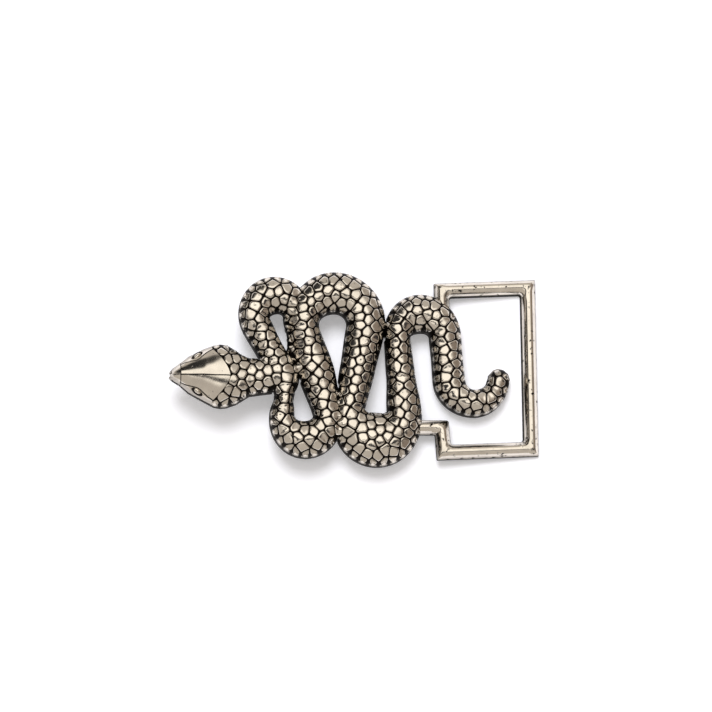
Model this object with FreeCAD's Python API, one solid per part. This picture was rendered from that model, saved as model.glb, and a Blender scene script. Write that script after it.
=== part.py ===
import FreeCAD, Part
import math
import os
import random

# A cast snake hook buckle. Sizes are in millimetres. The casting is described
# lying on its flat back at height zero, head to the left and strap frame to the
# right, and rest() leans the whole buckle onto its hook and its frame.

# Driving dimensions: strap frame
BAR_HALF_WIDTH = 2.1
ARM_DEPTH = 10.0
FRAME_LINE = [
    # name, x, y of the middle of the bar
    ("upper stub end", 24.0, 21.15 - ARM_DEPTH),
    ("upper left corner", 23.8, 21.15),
    ("upper right corner", 47.2, 22.3),
    ("lower right corner", 47.55, -21.8),
    ("lower left corner", 24.0, -22.9),
    ("arm corner", 23.5, -16.2),
    ("arm end", 23.5 - ARM_DEPTH, -16.2),
]
BAR_PROFILE = [
    # share of the half width, height
    (-1.0, 0.0),
    (-0.95, 1.4),
    (-0.60, 2.8),
    (-0.20, 3.25),
    (0.20, 3.25),
    (0.60, 2.8),
    (0.95, 1.4),
    (1.0, 0.0),
]

# Driving dimensions: snake body, a belt of varying width laid round seven bends
WALL_HEIGHT = 2.0
BODY_START = (-15.5, 1.2)
BODY_END = (38.9, -3.2)
START_SECTION = (2.6, 3.4)
END_SECTION = (2.85, 4.8)
BENDS = [
    # name, centre x, centre y, radius, turn, half width coming in, in the middle,
    # going out and halfway along the run after it, crest height
    ("loop behind the neck", -21.2, 13.4, 5.8, 1, 3.8, 5.0, 4.0, 3.7, 6.0),
    ("bend at the neck", -24.3, -5.1, 5.6, -1, 4.3, 3.7, 2.8, 2.6, 6.3),
    ("first bow", -13.5, -13.8, 6.2, 1, 3.3, 5.0, 3.9, 4.9, 6.3),
    ("first arch", -5.3, 11.6, 8.4, -1, 4.0, 5.6, 5.2, 4.7, 6.6),
    ("second bow", 5.9, -12.5, 7.4, 1, 4.1, 7.3, 4.6, 3.8, 6.6),
    ("second arch", 18.0, 8.1, 6.5, -1, 3.5, 5.2, 4.3, 4.2, 6.5),
    ("tail bend", 32.1, -3.0, 6.7, 1, 4.3, 3.7, 3.0, 2.9, 6.0),
]
STATION_STEP = 0.6

# Driving dimensions: head and neck, from the nose to where the neck joins the body
HEAD_SECTIONS = [
    # x, y of the middle, half width, crest height, exponent of the section's side
    (-49.6, -2.9, 1.0, 3.6, 1.8),
    (-48.9, -2.8, 1.7, 4.2, 1.8),
    (-47.1, -2.7, 2.9, 5.0, 1.8),
    (-44.7, -2.8, 4.9, 5.8, 1.7),
    (-40.6, -2.9, 7.1, 6.8, 1.7),
    (-37.9, -3.1, 8.3, 7.1, 1.8),
    (-36.2, -3.1, 8.6, 7.2, 1.9),
    (-34.4, -3.1, 8.4, 7.1, 2.0),
    (-31.9, -3.4, 7.2, 6.7, 2.3),
    (-30.4, -3.5, 6.2, 6.5, 2.5),
    (-28.4, -3.3, 5.1, 6.3, 2.7),
    (-24.4, -3.0, 4.8, 6.3, 2.7),
    (-19.7, -3.0, 4.2, 6.3, 2.7),
]
PLATE_REAR_X = -33.9
PLATE_SWEEP = 4.6
PLATE_HALF_SPAN = 7.0
PLATE_CURVE = 1.5
MIDLINE_DEPTH = 0.25
MIDLINE_HALF_WIDTH = 0.25
EYE_X = -42.8
EYE_OFFSET = 3.9
EYE_SIZE = (1.6, 1.0, 1.0)
EYE_HEIGHT = 4.5
EYE_TURN = 30.0

# Driving dimensions: scales
SCALE_RADIUS = 1.1
SCALE_SPREAD = 0.08
RIM = 0.25
RIM_SPACING = 1.1
EMPTY_SPACING = 1.2
OUTER_SPAN = (54.0, 30.0)
PLATE_FACET = 0.95
GROOVE_DEPTH = 0.42
GROOVE_HALF_WIDTH = 0.3
SCALE_DOME = 0.16
SHORTEST_EDGE = 0.35
SAME_POINT = 0.004
SEED = 7

# Driving dimensions: hook on the back, one bent round rod
ROD_DIAMETER = 3.0
HOOK_X = -21.5
HOOK_Y = -3.1
HOOK_GAP = 4.8
HOOK_REACH = 10.0
HOOK_BEND = 2.2
SOCKET_DEPTH = 2.6
FIT = 0.05

# Search steps and small allowances
STRAIGHT = 0.0
FULL_TURN = 2.0 * math.pi
CAP_STEPS = 6
TRACE_STEPS = 12
ON_EDGE = 0.02
NOSE_START = 0.1
FINE_STEP = 0.3
STEEPEST_SHARE = 0.95
COVERED = 0.05
CELL_SPAN = 5.0
LOWEST_GROOVE = 0.7 * WALL_HEIGHT
MOST_INSET_SHARE = 0.5
SEWING_GAP = 0.001
SOCKET_RUN_OUT = 1.0


def left_of(angle):
    return -math.sin(angle), math.cos(angle)


def tangent_heading(start, start_radius, end, end_radius):
    """Heading of the straight run between two round stops; a radius is positive
    where the run turns left round the stop, and zero at a plain point."""
    dx = end[0] - start[0]
    dy = end[1] - start[1]
    slant = math.asin((end_radius - start_radius) / math.hypot(dx, dy))
    return math.atan2(dy, dx) - slant


def blend(rows, place):
    """Value of a table of (place, value) rows, eased between its rows."""
    for (low, before), (high, after) in zip(rows, rows[1:]):
        if place <= high:
            share = max(0.0, (place - low) / (high - low))
            eased = share * share * (3.0 - 2.0 * share)
            return before + (after - before) * eased
    return rows[-1][1]


def body_stations():
    """Stations (x, y, heading, half width, crest height) along the snake's body."""
    stops = [(BODY_START, STRAIGHT)]
    for name, x, y, radius, turn, *widths in BENDS:
        stops.append(((x, y), turn * radius))
    stops.append((BODY_END, STRAIGHT))
    headings = []
    for (start, start_radius), (end, end_radius) in zip(stops, stops[1:]):
        headings.append(tangent_heading(start, start_radius, end, end_radius))

    route = [(BODY_START[0], BODY_START[1], headings[0])]
    half_widths = [(0.0, START_SECTION[0])]
    crests = [(0.0, START_SECTION[1])]
    length = 0.0
    width_run = START_SECTION[0]
    for index, bend in enumerate(BENDS):
        name, x, y, radius, turn, width_in, width_mid, width_out, width_after, crest = bend
        first = headings[index]
        sweep = (turn * (headings[index + 1] - first)) % FULL_TURN
        side = left_of(first)
        entry = (x - turn * radius * side[0], y - turn * radius * side[1])
        run = add_run(route, entry, first)
        half_widths.append((length + 0.5 * run, width_run))
        width_run = width_after
        length += run
        half_widths.append((length, width_in))
        half_widths.append((length + 0.5 * radius * sweep, width_mid))
        crests.append((length + 0.5 * radius * sweep, crest))
        steps = max(4, round(radius * sweep / STATION_STEP))
        for step in range(1, steps + 1):
            angle = first + turn * sweep * step / steps
            side = left_of(angle)
            route.append((x - turn * radius * side[0], y - turn * radius * side[1], angle))
        length += radius * sweep
        half_widths.append((length, width_out))
    length += add_run(route, BODY_END, headings[-1])
    half_widths.append((length, END_SECTION[0]))
    crests.append((length, END_SECTION[1]))

    stations = []
    travelled = 0.0
    for index, (x, y, angle) in enumerate(route):
        if index:
            travelled += math.dist(route[index - 1][:2], (x, y))
        stations.append((x, y, angle, blend(half_widths, travelled), blend(crests, travelled)))
    return stations


def add_run(route, end, angle):
    """Add the straight run from the route's last point to end; return its length."""
    start = route[-1]
    length = math.dist(start[:2], end)
    steps = max(1, round(length / STATION_STEP))
    for step in range(1, steps + 1):
        share = step / steps
        x = start[0] + (end[0] - start[0]) * share
        y = start[1] + (end[1] - start[1]) * share
        route.append((x, y, angle))
    return length


BODY = body_stations()


def head_section(x):
    """Middle, half width, crest height, side exponent and edge slope at x."""
    for low, high in zip(HEAD_SECTIONS, HEAD_SECTIONS[1:]):
        if x <= high[0]:
            share = (x - low[0]) / (high[0] - low[0])
            values = [low[k] + (high[k] - low[k]) * share for k in range(1, 5)]
            return values + [(high[2] - low[2]) / (high[0] - low[0])]
    return None


def body_height(x, y):
    """Height of the round-backed body over a point, or None beside it."""
    best = None
    for cx, cy, angle, half, crest in BODY:
        share = ((x - cx) ** 2 + (y - cy) ** 2) / (half * half)
        if share < 1.0:
            height = WALL_HEIGHT + (crest - WALL_HEIGHT) * math.sqrt(1.0 - share)
            if best is None or height > best:
                best = height
    return best


def head_height(x, y):
    """Height of the head and neck over a point, or None beside them."""
    if not HEAD_SECTIONS[0][0] <= x <= HEAD_SECTIONS[-1][0]:
        return None
    middle, half, crest, exponent, slope = head_section(x)
    share = abs(y - middle) / half
    if share >= 1.0:
        return None
    rise = (1.0 - share ** exponent) ** (1.0 / min(exponent, 2.0))
    return WALL_HEIGHT + (crest - WALL_HEIGHT) * rise


def surface(x, y):
    heights = [h for h in (body_height(x, y), head_height(x, y)) if h is not None]
    return max(heights) if heights else WALL_HEIGHT


def clearance(x, y):
    """Distance from a point to the outline, positive inside the metal."""
    best = max(half - math.dist((x, y), (cx, cy)) for cx, cy, angle, half, crest in BODY)
    first = HEAD_SECTIONS[0][0]
    last = HEAD_SECTIONS[-1][0]
    middle, half, crest, exponent, slope = head_section(min(max(x, first), last))
    side = (half - abs(y - middle)) / math.hypot(1.0, slope)
    return max(best, min(side, x - first, last - x))


def on_plates(x, y):
    """True on the two smooth plates that cover the top of the head."""
    if x > PLATE_REAR_X:
        return False
    offset = abs(y - head_section(max(x, HEAD_SECTIONS[0][0]))[0])
    return x < PLATE_REAR_X - PLATE_SWEEP * (offset / PLATE_HALF_SPAN) ** PLATE_CURVE


def edge_starts():
    """Points on the middle lines, each with a direction that leads to the outline."""
    starts = []
    for x, y, angle, half, crest in BODY[::2]:
        across = left_of(angle)
        starts.append((x, y, across[0], across[1], half))
        starts.append((x, y, -across[0], -across[1], half))
    x, y, angle, half, crest = BODY[-1]
    for step in range(1, CAP_STEPS):
        turned = angle - 0.5 * math.pi + math.pi * step / CAP_STEPS
        starts.append((x, y, math.cos(turned), math.sin(turned), half))
    x = HEAD_SECTIONS[0][0] + NOSE_START
    while x < HEAD_SECTIONS[-1][0]:
        middle, half, crest, exponent, slope = head_section(x)
        starts.append((x, middle, 0.0, 1.0, half))
        starts.append((x, middle, 0.0, -1.0, half))
        x += STATION_STEP
    starts.append((HEAD_SECTIONS[1][0], HEAD_SECTIONS[1][1], -1.0, 0.0, HEAD_SECTIONS[1][2]))
    return starts


def edge_point(x, y, dx, dy, half):
    """Where a line from a middle line leaves the metal, or None if it stays in it."""
    reach = 0.5 * half
    for attempt in range(TRACE_STEPS):
        reach += clearance(x + dx * reach, y + dy * reach)
    point = (x + dx * reach, y + dy * reach)
    if abs(clearance(*point)) > ON_EDGE or reach > half + 2.0 * RIM:
        return None
    return point


def edge_seeds():
    """Seeds of the narrow rim cells, and of the empty cells outside them."""
    rim = []
    empty = []
    edge = []
    for start in edge_starts():
        point = edge_point(*start)
        if point is None or any(math.dist(point, known) < RIM_SPACING for known in edge):
            continue
        edge.append(point)
        x, y = point
        dx = clearance(x - RIM, y) - clearance(x + RIM, y)
        dy = clearance(x, y - RIM) - clearance(x, y + RIM)
        length = math.hypot(dx, dy)
        outer = (x + RIM * dx / length, y + RIM * dy / length)
        if length > RIM and clearance(*outer) < -0.4 * RIM:
            rim.append((x - RIM * dx / length, y - RIM * dy / length))
            empty.append(outer)
    columns = round(2.0 * OUTER_SPAN[0] / EMPTY_SPACING)
    lines = round(2.0 * OUTER_SPAN[1] / EMPTY_SPACING)
    for i in range(columns + 1):
        for j in range(lines + 1):
            x = -OUTER_SPAN[0] + i * EMPTY_SPACING
            y = -OUTER_SPAN[1] + j * EMPTY_SPACING
            if -3.0 * EMPTY_SPACING < clearance(x, y) < -EMPTY_SPACING:
                empty.append((x, y))
    return rim, empty


def plate_seeds():
    """Seeds of the smooth facets, in mirrored pairs beside the head's middle line."""
    seeds = []
    x = HEAD_SECTIONS[0][0] + 2.0 * RIM + PLATE_FACET
    while x < PLATE_REAR_X:
        middle = head_section(x)[0]
        offset = PLATE_FACET
        while clearance(x, middle + offset) > 2.0 * RIM + 0.6 * PLATE_FACET:
            if on_plates(x + 0.8 * PLATE_FACET, middle + offset):
                seeds += [(x, middle + offset), (x, middle - offset)]
            offset += 2.0 * PLATE_FACET
        x += 2.0 * PLATE_FACET
    return seeds


def scale_seeds(chance):
    """Seeds of the scales, packed closely from end to end: place, height, cosine of
    the surface's slope, and radius."""
    seeds = []

    def try_seed(x, y, height, cosine, radius):
        if surface(x, y) > height + COVERED:
            return
        if clearance(x, y) < 2.0 * RIM + radius * cosine:
            return
        if on_plates(x - radius, y):
            return
        for other in seeds:
            if math.dist((x, y, height), other[:3]) < radius + other[4]:
                return
        seeds.append((x, y, height, cosine, radius))

    def row(x, y, angle, half, crest, height_at):
        across = left_of(angle)
        count = int(half / FINE_STEP)
        offsets = sorted(range(-count, count + 1), key=lambda k: chance.random())
        radius = SCALE_RADIUS * (1.0 + SCALE_SPREAD * chance.uniform(-1.0, 1.0))
        for k in offsets:
            offset = k * FINE_STEP
            px = x + across[0] * offset
            py = y + across[1] * offset
            height = height_at(px, py)
            if height is None:
                continue
            share = min(STEEPEST_SHARE, abs(offset) / half)
            run = math.sqrt(1.0 - share * share)
            rise = (crest - WALL_HEIGHT) / half * share
            try_seed(px, py, height, run / math.hypot(run, rise), radius)

    x = HEAD_SECTIONS[0][0]
    while x < HEAD_SECTIONS[-1][0]:
        middle, half, crest, exponent, slope = head_section(x)
        if x > PLATE_REAR_X - PLATE_SWEEP - SCALE_RADIUS:
            row(x, middle, 0.0, half, crest, head_height)
        x += 0.5 * STATION_STEP
    for before, station in zip(BODY, BODY[1:]):
        for share in (0.0, 0.5):
            mixed = [a + (b - a) * share for a, b in zip(before, station)]
            row(*mixed, body_height)
    return seeds


def clip(polygon, dx, dy, limit):
    """The part of a polygon where dx * x + dy * y is at most limit."""
    kept = []
    for start, end in zip(polygon, polygon[1:] + polygon[:1]):
        before = dx * start[0] + dy * start[1] - limit
        after = dx * end[0] + dy * end[1] - limit
        if before <= 0.0:
            kept.append(start)
        if (before < 0.0 < after) or (after < 0.0 < before):
            share = before / (before - after)
            x = start[0] + (end[0] - start[0]) * share
            y = start[1] + (end[1] - start[1]) * share
            kept.append((x, y))
    return kept


def cells(seeds, count):
    """Outline of the cell round each of the first count seeds (x, y, radius)."""
    outlines = []
    for x, y, radius in seeds[:count]:
        near = []
        for other in seeds:
            gap = math.dist((x, y), other[:2])
            if 0.0 < gap < 2.0 * CELL_SPAN:
                near.append((gap, other))
        near.sort()
        outline = []
        for i, j in ((-1, -1), (1, -1), (1, 1), (-1, 1)):
            outline.append((x + i * CELL_SPAN, y + j * CELL_SPAN))
        for gap, (ox, oy, other_radius) in near:
            dx = ox - x
            dy = oy - y
            limit = 0.5 * (gap * gap + radius * radius - other_radius * other_radius)
            outline = clip(outline, dx, dy, limit + dx * x + dy * y)
            if len(outline) < 3:
                break
        outlines.append(outline)
    return outlines


def number_corners(outlines):
    """The corners that cells share, and each cell as a loop of corner numbers."""
    points = []
    known = {}
    loops = []
    for outline in outlines:
        loop = []
        for x, y in outline:
            key = (round(x / SAME_POINT), round(y / SAME_POINT))
            around = [(key[0] + i, key[1] + j) for i in (-1, 0, 1) for j in (-1, 0, 1)]
            found = next((known[k] for k in around if k in known), None)
            if found is None:
                found = len(points)
                known[key] = found
                points.append((x, y))
            loop.append(found)
        loops.append(tidy_loop(loop))
    return points, loops


def tidy_loop(loop):
    """A loop of corner numbers without repeats next to each other."""
    kept = []
    for number in loop:
        if not kept or kept[-1] != number:
            kept.append(number)
    while len(kept) > 1 and kept[0] == kept[-1]:
        kept.pop()
    return kept


def loop_edges(loop):
    return list(zip(loop, loop[1:] + loop[:1]))


def border_edges(loops):
    """Directed edges that only one cell has: those on the outline."""
    edges = {edge for loop in loops for edge in loop_edges(loop)}
    return [(start, end) for start, end in sorted(edges) if (end, start) not in edges]


def join_short_edges(points, loops):
    """Draw the two ends of each short edge inside the metal together."""
    taken = {number for edge in border_edges(loops) for number in edge}
    joined = {}
    for loop in loops:
        for start, end in loop_edges(loop):
            if start in taken or end in taken or math.dist(points[start], points[end]) > SHORTEST_EDGE:
                continue
            taken.update((start, end))
            joined[end] = start
            points[start] = tuple(0.5 * (a + b) for a, b in zip(points[start], points[end]))
    return [tidy_loop([joined.get(number, number) for number in loop]) for loop in loops]


def face(points):
    corners = [FreeCAD.Vector(*point) for point in points]
    return Part.Face(Part.makePolygon(corners + corners[:1]))


def outline_loops(edges):
    """Closed loops of corner numbers, followed along directed edges."""
    follow = dict(edges)
    loops = []
    while follow:
        start = next(iter(follow))
        loop = [start]
        number = follow.pop(start)
        while number != start:
            loop.append(number)
            number = follow.pop(number)
        loops.append(loop)
    return loops


def snake_solid():
    """The snake with its raised scales as one solid on a flat back."""
    chance = random.Random(SEED)
    rim, empty = edge_seeds()
    plates = plate_seeds()
    scales = scale_seeds(chance)
    seeds = [(x, y, radius * cosine) for x, y, height, cosine, radius in scales]
    seeds += [(x, y, PLATE_FACET) for x, y in plates]
    seeds += [(x, y, RIM) for x, y in rim]
    inside = len(seeds)
    seeds += [(x, y, RIM) for x, y in empty]
    outlines = cells(seeds, inside)

    points, loops = number_corners(outlines)
    loops = [loop if len(loop) > 2 else [] for loop in join_short_edges(points, loops)]
    grooved = set()
    for loop in loops[:len(scales)]:
        grooved.update(loop)

    def corner_point(number):
        x, y = points[number]
        height = surface(x, y)
        if number in grooved:
            height -= GROOVE_DEPTH
        elif head_height(x, y) is not None and abs(y - head_section(x)[0]) < MIDLINE_HALF_WIDTH:
            height -= MIDLINE_DEPTH
        return x, y, max(height, LOWEST_GROOVE)

    top = [corner_point(number) for number in range(len(points))]
    triangles = []
    for order, loop in enumerate(loops):
        if not loop:
            continue
        cx = sum(top[number][0] for number in loop) / len(loop)
        cy = sum(top[number][1] for number in loop) / len(loop)
        ring = [top[number] for number in loop]
        if order < len(scales):
            raised = []
            for x, y, height in ring:
                share = 1.0 - min(MOST_INSET_SHARE, GROOVE_HALF_WIDTH / math.dist((x, y), (cx, cy)))
                px = cx + (x - cx) * share
                py = cy + (y - cy) * share
                raised.append((px, py, surface(px, py)))
            for k in range(len(ring)):
                following = (k + 1) % len(ring)
                triangles.append((ring[k], ring[following], raised[following]))
                triangles.append((ring[k], raised[following], raised[k]))
            ring = raised
            middle = (cx, cy, surface(cx, cy) + SCALE_DOME)
        else:
            middle = (cx, cy, surface(cx, cy))
        for k in range(len(ring)):
            triangles.append((ring[k], ring[(k + 1) % len(ring)], middle))

    faces = [face(triangle) for triangle in triangles]
    edges = border_edges(loops)
    for start, end in edges:
        a = top[start]
        b = top[end]
        faces.append(face([a, (a[0], a[1], 0.0), (b[0], b[1], 0.0), b]))
    wires = []
    for loop in outline_loops(edges):
        low = [FreeCAD.Vector(top[number][0], top[number][1], 0.0) for number in loop]
        wires.append(Part.makePolygon(low + low[:1]))
    faces.append(Part.makeFace(wires, "Part::FaceMakerBullseye"))
    print("scales", len(scales), "plate facets", len(plates), "rim", len(rim), "triangles", len(triangles))
    print("loops", len(wires), "edge faces", len(edges))
    return closed_solid(faces)


def closed_solid(faces):
    """A solid from the faces that close it."""
    shape = Part.Compound(faces)
    shape.sewShape(SEWING_GAP)
    solid = Part.makeSolid(shape.Shells[0])
    if solid.Volume < 0.0:
        solid.reverse()
    return solid


def frame_solid():
    """The open strap frame: one bar with mitred corners along its line."""
    line = [(x, y) for name, x, y in FRAME_LINE]
    headings = []
    for start, end in zip(line, line[1:]):
        headings.append(math.atan2(end[1] - start[1], end[0] - start[0]))
    rings = []
    for index, (x, y) in enumerate(line):
        before = headings[max(0, index - 1)]
        after = headings[min(index, len(headings) - 1)]
        half_turn = 0.5 * math.remainder(after - before, FULL_TURN)
        across = left_of(before + half_turn)
        reach = BAR_HALF_WIDTH / math.cos(half_turn)
        ring = []
        for share, height in BAR_PROFILE:
            ring.append((x + across[0] * reach * share, y + across[1] * reach * share, height))
        rings.append(ring)
    count = len(BAR_PROFILE)
    faces = [face(rings[0]), face(rings[-1])]
    for first, second in zip(rings, rings[1:]):
        for k in range(count):
            following = (k + 1) % count
            faces.append(face([first[k], first[following], second[following], second[k]]))
    return closed_solid(faces)


def eye_solids():
    """The two cast eyes, low almond-shaped bosses on the sides of the head."""
    middle = head_section(EYE_X)[0]
    eyes = []
    for side in (-1, 1):
        length, width, height = EYE_SIZE
        ball = Part.makeSphere(1.0)
        stretch = FreeCAD.Matrix()
        stretch.scale(length, width, height)
        ball = ball.transformGeometry(stretch)
        ball.rotate(FreeCAD.Vector(0, 0, 0), FreeCAD.Vector(0, 0, 1), side * EYE_TURN)
        ball.translate(FreeCAD.Vector(EYE_X, middle + side * EYE_OFFSET, EYE_HEIGHT))
        eyes.append(ball)
    return eyes


def hook_solid():
    """The hook: a round rod that leaves the back, bends and reaches to the head."""
    radius = 0.5 * ROD_DIAMETER
    arm_z = -(HOOK_GAP + radius)
    down = FreeCAD.Vector(0, 0, -1)
    outward = FreeCAD.Vector(-1, 0, 0)
    shank_top = FreeCAD.Vector(HOOK_X, HOOK_Y, SOCKET_DEPTH - FIT)
    shank = Part.makeCylinder(radius, SOCKET_DEPTH - FIT - arm_z - HOOK_BEND, shank_top, down)
    arm_start = FreeCAD.Vector(HOOK_X - HOOK_BEND, HOOK_Y, arm_z)
    arm = Part.makeCylinder(radius, HOOK_REACH - HOOK_BEND - radius, arm_start, outward)
    tip = Part.makeSphere(radius, arm_start + outward * (HOOK_REACH - HOOK_BEND - radius))
    centre = FreeCAD.Vector(HOOK_X - HOOK_BEND, HOOK_Y, arm_z + HOOK_BEND)
    ring = Part.Circle(arm_start, outward, radius).toShape()
    disc = Part.Face(Part.Wire(ring))
    bend = disc.revolve(centre, FreeCAD.Vector(0, -1, 0), 90.0)
    return shank.multiFuse([bend, arm, tip]).removeSplitter()


def rest(shape):
    """Lean the buckle on the outside of its hook's bend and the frame's outer bar."""
    outer_x = max(x for name, x, y in FRAME_LINE) + BAR_HALF_WIDTH
    run = outer_x - (HOOK_X - HOOK_BEND)
    drop = HOOK_GAP + 0.5 * ROD_DIAMETER - HOOK_BEND
    bend_radius = HOOK_BEND + 0.5 * ROD_DIAMETER
    slope = math.atan2(drop, run) + math.asin(bend_radius / math.hypot(run, drop))
    leaned = shape.copy()
    pivot = FreeCAD.Vector(outer_x, 0, 0)
    leaned.rotate(pivot, FreeCAD.Vector(0, 1, 0), math.degrees(slope))
    return leaned


def main():
    os.makedirs("parts", exist_ok=True)
    casting = snake_solid()
    casting = casting.multiFuse([frame_solid()] + eye_solids())
    socket_radius = 0.5 * ROD_DIAMETER + FIT
    socket_base = FreeCAD.Vector(HOOK_X, HOOK_Y, -SOCKET_RUN_OUT)
    socket = Part.makeCylinder(socket_radius, SOCKET_DEPTH + SOCKET_RUN_OUT, socket_base)
    casting = rest(casting.cut(socket))
    hook = rest(hook_solid())
    across = [vertex.X for vertex in casting.Vertexes]
    along = [vertex.Y for vertex in casting.Vertexes]
    middle = FreeCAD.Vector(0.5 * (min(across) + max(across)), 0.5 * (min(along) + max(along)), 0)
    print("moved by", -middle)
    for name, shape in (("snake_casting", casting), ("belt_hook", hook)):
        shape.translate(-middle)
        print("lowest", min(vertex.Z for vertex in shape.Vertexes))
        print(name, shape.isValid(), len(shape.Solids), round(shape.Volume, 1), shape.BoundBox)
        shape.exportStep("parts/" + name + ".step")


main()
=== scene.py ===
import heapq
import math
import random

import bmesh
import bpy
from mathutils import Matrix, Quaternion, Vector
from mathutils.bvhtree import BVHTree


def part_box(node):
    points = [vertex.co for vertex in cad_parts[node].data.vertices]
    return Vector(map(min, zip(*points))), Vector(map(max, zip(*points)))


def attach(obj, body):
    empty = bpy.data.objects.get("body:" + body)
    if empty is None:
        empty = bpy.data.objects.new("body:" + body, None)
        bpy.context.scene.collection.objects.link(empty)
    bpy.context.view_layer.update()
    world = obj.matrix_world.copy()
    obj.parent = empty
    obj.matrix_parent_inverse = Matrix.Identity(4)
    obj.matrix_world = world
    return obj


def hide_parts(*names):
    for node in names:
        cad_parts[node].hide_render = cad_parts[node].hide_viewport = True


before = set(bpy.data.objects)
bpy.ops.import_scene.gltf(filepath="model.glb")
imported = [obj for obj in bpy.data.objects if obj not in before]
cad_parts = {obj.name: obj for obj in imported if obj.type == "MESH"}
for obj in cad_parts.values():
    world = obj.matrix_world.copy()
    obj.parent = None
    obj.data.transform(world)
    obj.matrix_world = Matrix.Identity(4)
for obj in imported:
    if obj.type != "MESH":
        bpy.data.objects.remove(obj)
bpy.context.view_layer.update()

# Snake casting
# The snake is cast white metal, one piece with the strap frame: a round-backed
# body laid in flat coils, covered in raised scales with sunk grooves between
# them. It is darkened all over and then polished where a wheel can reach.

# The plan sizes are in millimetres, for the buckle lying on its flat back with
# the head to the left. Each piece is modelled there and then leaned into place.
MM = 0.001
WALL_HEIGHT = 2.0
BODY_START = (-15.5, 1.2)
BODY_END = (38.9, -3.2)
START_SECTION = (2.6, 3.4)
END_SECTION = (2.85, 4.8)
BENDS = [
    # name, centre x, centre y, radius, turn, half width coming in, in the middle,
    # going out and halfway along the run after it, crest height
    ("loop behind the neck", -21.2, 13.4, 5.8, 1, 3.8, 5.0, 4.0, 3.7, 6.0),
    ("bend at the neck", -24.3, -5.1, 5.6, -1, 4.3, 3.7, 2.8, 2.6, 6.3),
    ("first bow", -13.5, -13.8, 6.2, 1, 3.3, 5.0, 3.9, 4.9, 6.3),
    ("first arch", -5.3, 11.6, 8.4, -1, 4.0, 5.6, 5.2, 4.7, 6.6),
    ("second bow", 5.9, -12.5, 7.4, 1, 4.1, 7.3, 4.6, 3.8, 6.6),
    ("second arch", 18.0, 8.1, 6.5, -1, 3.5, 5.2, 4.3, 4.2, 6.5),
    ("tail bend", 32.1, -3.0, 6.7, 1, 4.3, 3.7, 3.0, 2.9, 6.0),
]
STATION_STEP = 0.6
FEWEST_BEND_STEPS = 4

HEAD_SECTIONS = [
    # x, y of the middle, half width, crest height, exponent of the section's side
    (-49.6, -2.9, 1.0, 3.6, 1.8),
    (-48.9, -2.8, 1.7, 4.2, 1.8),
    (-47.1, -2.7, 2.9, 5.0, 1.8),
    (-44.7, -2.8, 4.9, 5.8, 1.7),
    (-40.6, -2.9, 7.1, 6.8, 1.7),
    (-37.9, -3.1, 8.3, 7.1, 1.8),
    (-36.2, -3.1, 8.6, 7.2, 1.9),
    (-34.4, -3.1, 8.4, 7.1, 2.0),
    (-31.9, -3.4, 7.2, 6.7, 2.3),
    (-30.4, -3.5, 6.2, 6.5, 2.5),
    (-28.4, -3.3, 5.1, 6.3, 2.7),
    (-24.4, -3.0, 4.8, 6.3, 2.7),
    (-19.7, -3.0, 4.2, 6.3, 2.7),
]
PLATE_REAR_X = -33.9
PLATE_SWEEP = 4.6
PLATE_HALF_SPAN = 7.0
PLATE_CURVE = 1.5

SCALE_RADIUS = 1.22
SCALE_SPREAD = 0.08
RIM = 0.2
RIM_SPACING = 0.4
WELL_OUTSIDE = 0.4 * RIM
EMPTY_SPACING = 1.2
EMPTY_BAND = 3.0 * EMPTY_SPACING
OUTER_SPAN = (54.0, 30.0)
PLATE_FACET = 0.95
FACET_EDGE_ROOM = 0.6 * PLATE_FACET
FACET_REAR_ROOM = 0.8 * PLATE_FACET
PLATE_REAR_FIRST = 0.15
PLATE_REAR_STEP = 1.5 * RIM
OUTER_ROW_INSET = 0.55
OUTER_ROW_PLATE_ROOM = 1.0
SEED_EDGE_SHARE = 0.3
GROOVE_DEPTH = 0.42
SHORTEST_EDGE = 0.35
SAME_POINT = 0.004
SEED = 7

STRAIGHT = 0.0
FULL_TURN = 2.0 * math.pi
CAP_STEPS = 6
TRACE_STEPS = 12
ON_EDGE = 0.02
NOSE_START = 0.1
FINE_STEP = 0.3
STEEPEST_SHARE = 0.95
COVERED = 0.05
CELL_SPAN = 5.0
LOWEST_GROOVE = 0.7 * WALL_HEIGHT


def left_of(angle):
    return -math.sin(angle), math.cos(angle)


def tangent_heading(start, start_radius, end, end_radius):
    """Heading of the straight run between two round stops; a radius is positive
    where the run turns left round the stop, and zero at a plain point."""
    dx = end[0] - start[0]
    dy = end[1] - start[1]
    slant = math.asin((end_radius - start_radius) / math.hypot(dx, dy))
    return math.atan2(dy, dx) - slant


def blend(rows, place):
    """Value of a table of (place, value) rows, eased between its rows."""
    for (low, before), (high, after) in zip(rows, rows[1:]):
        if place <= high:
            share = max(0.0, (place - low) / (high - low))
            eased = share * share * (3.0 - 2.0 * share)
            return before + (after - before) * eased
    return rows[-1][1]


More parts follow.
